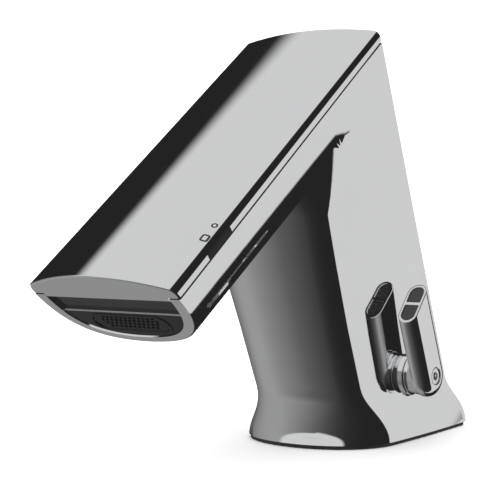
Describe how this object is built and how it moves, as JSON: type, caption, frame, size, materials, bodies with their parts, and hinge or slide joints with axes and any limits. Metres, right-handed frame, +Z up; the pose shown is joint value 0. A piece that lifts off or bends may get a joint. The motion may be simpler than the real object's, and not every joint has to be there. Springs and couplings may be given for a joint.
{
  "type": "sensor tap",
  "caption": "Chromed deck tap with a sloping wedge spout, infrared window and spray outlet on its end face, and a short side lever that sets the mix.",
  "frame": {"origin": "On the underside of the base gasket, midway between the two stud holes, where the tap stands on the basin deck.", "axes": "+Z up, square to the deck; -Y the way the spout points; +X the side that carries the mixing lever."},
  "size_m": [0.0622, 0.1786, 0.1418],
  "materials": {
    "chrome": "polished chrome plate over cast brass",
    "seal": "black rubber",
    "window": "polished dark infrared window",
    "dark_plastic": "moulded black plastic",
    "spray_metal": "dark perforated plate",
    "hose_plastic": "natural plastic tube",
    "pale_plastic": "moulded acetal",
    "steel": "stainless steel",
    "battery_wrap": "sealed plastic wrap",
    "board": "coated circuit board",
    "disc": null,
    "brass": "turned brass",
    "insert": "smooth dark insert"
  },
  "bodies": {
    "tap_body": {"body_shell": "chrome", "crown_cover": "chrome", "hub_collar": "chrome", "hub_ring": "chrome", "base_gasket": "seal", "crown_gasket": "seal", "diaphragm": "seal", "sensor_window": "window", "outlet_panel": "dark_plastic", "spray_plate": "spray_metal", "spray_chamber": "dark_plastic", "sensor_module": "dark_plastic", "outlet_tube": "hose_plastic", "riser_tube": "hose_plastic", "valve_body": "pale_plastic", "solenoid_base": "pale_plastic", "solenoid_coil": "dark_plastic", "plunger_spring": "steel", "battery": "battery_wrap", "battery_bracket": "pale_plastic", "control_board": "board", "crown_screw": "steel", "cartridge_sleeve": "pale_plastic", "fixed_disc": "disc", "check_valve_hot": "pale_plastic", "check_valve_cold": "pale_plastic", "poppet_spring_hot": "steel", "poppet_spring_cold": "steel", "inlet_filter_hot": "steel", "inlet_filter_cold": "steel"},
    "lever": {"mixer_lever": "chrome", "lever_insert_upper": "insert", "lever_insert_lower": "insert", "lever_screw": "chrome", "mixing_spindle": "brass", "moving_disc": "disc"},
    "plunger": {"solenoid_plunger": "steel"},
    "poppet_hot": {"check_poppet_hot": "pale_plastic"},
    "poppet_cold": {"check_poppet_cold": "pale_plastic"}
  },
  "joints": [
    {"name": "lever_turn", "type": "hinge", "parent": "tap_body", "child": "lever", "pos_m": [0.0269, -0.0014, 0.0223], "axis": [1, 0, 0], "range_deg": [-45, 45]},
    {"name": "plunger_lift", "type": "slide", "parent": "tap_body", "child": "plunger", "axis": [0, 0.7912, 0.6115], "range_m": [0, 0.0015], "stiffness_N_per_m": 400, "springref_m": -0.002, "deforming": ["plunger_spring"]},
    {"name": "poppet_hot_lift", "type": "slide", "parent": "tap_body", "child": "poppet_hot", "axis": [0, 0, 1], "range_m": [0, 0.0015], "stiffness_N_per_m": 60, "springref_m": -0.001, "deforming": ["poppet_spring_hot"]},
    {"name": "poppet_cold_lift", "type": "slide", "parent": "tap_body", "child": "poppet_cold", "axis": [0, 0, 1], "range_m": [0, 0.0015], "stiffness_N_per_m": 60, "springref_m": -0.001, "deforming": ["poppet_spring_cold"]}
  ]
}
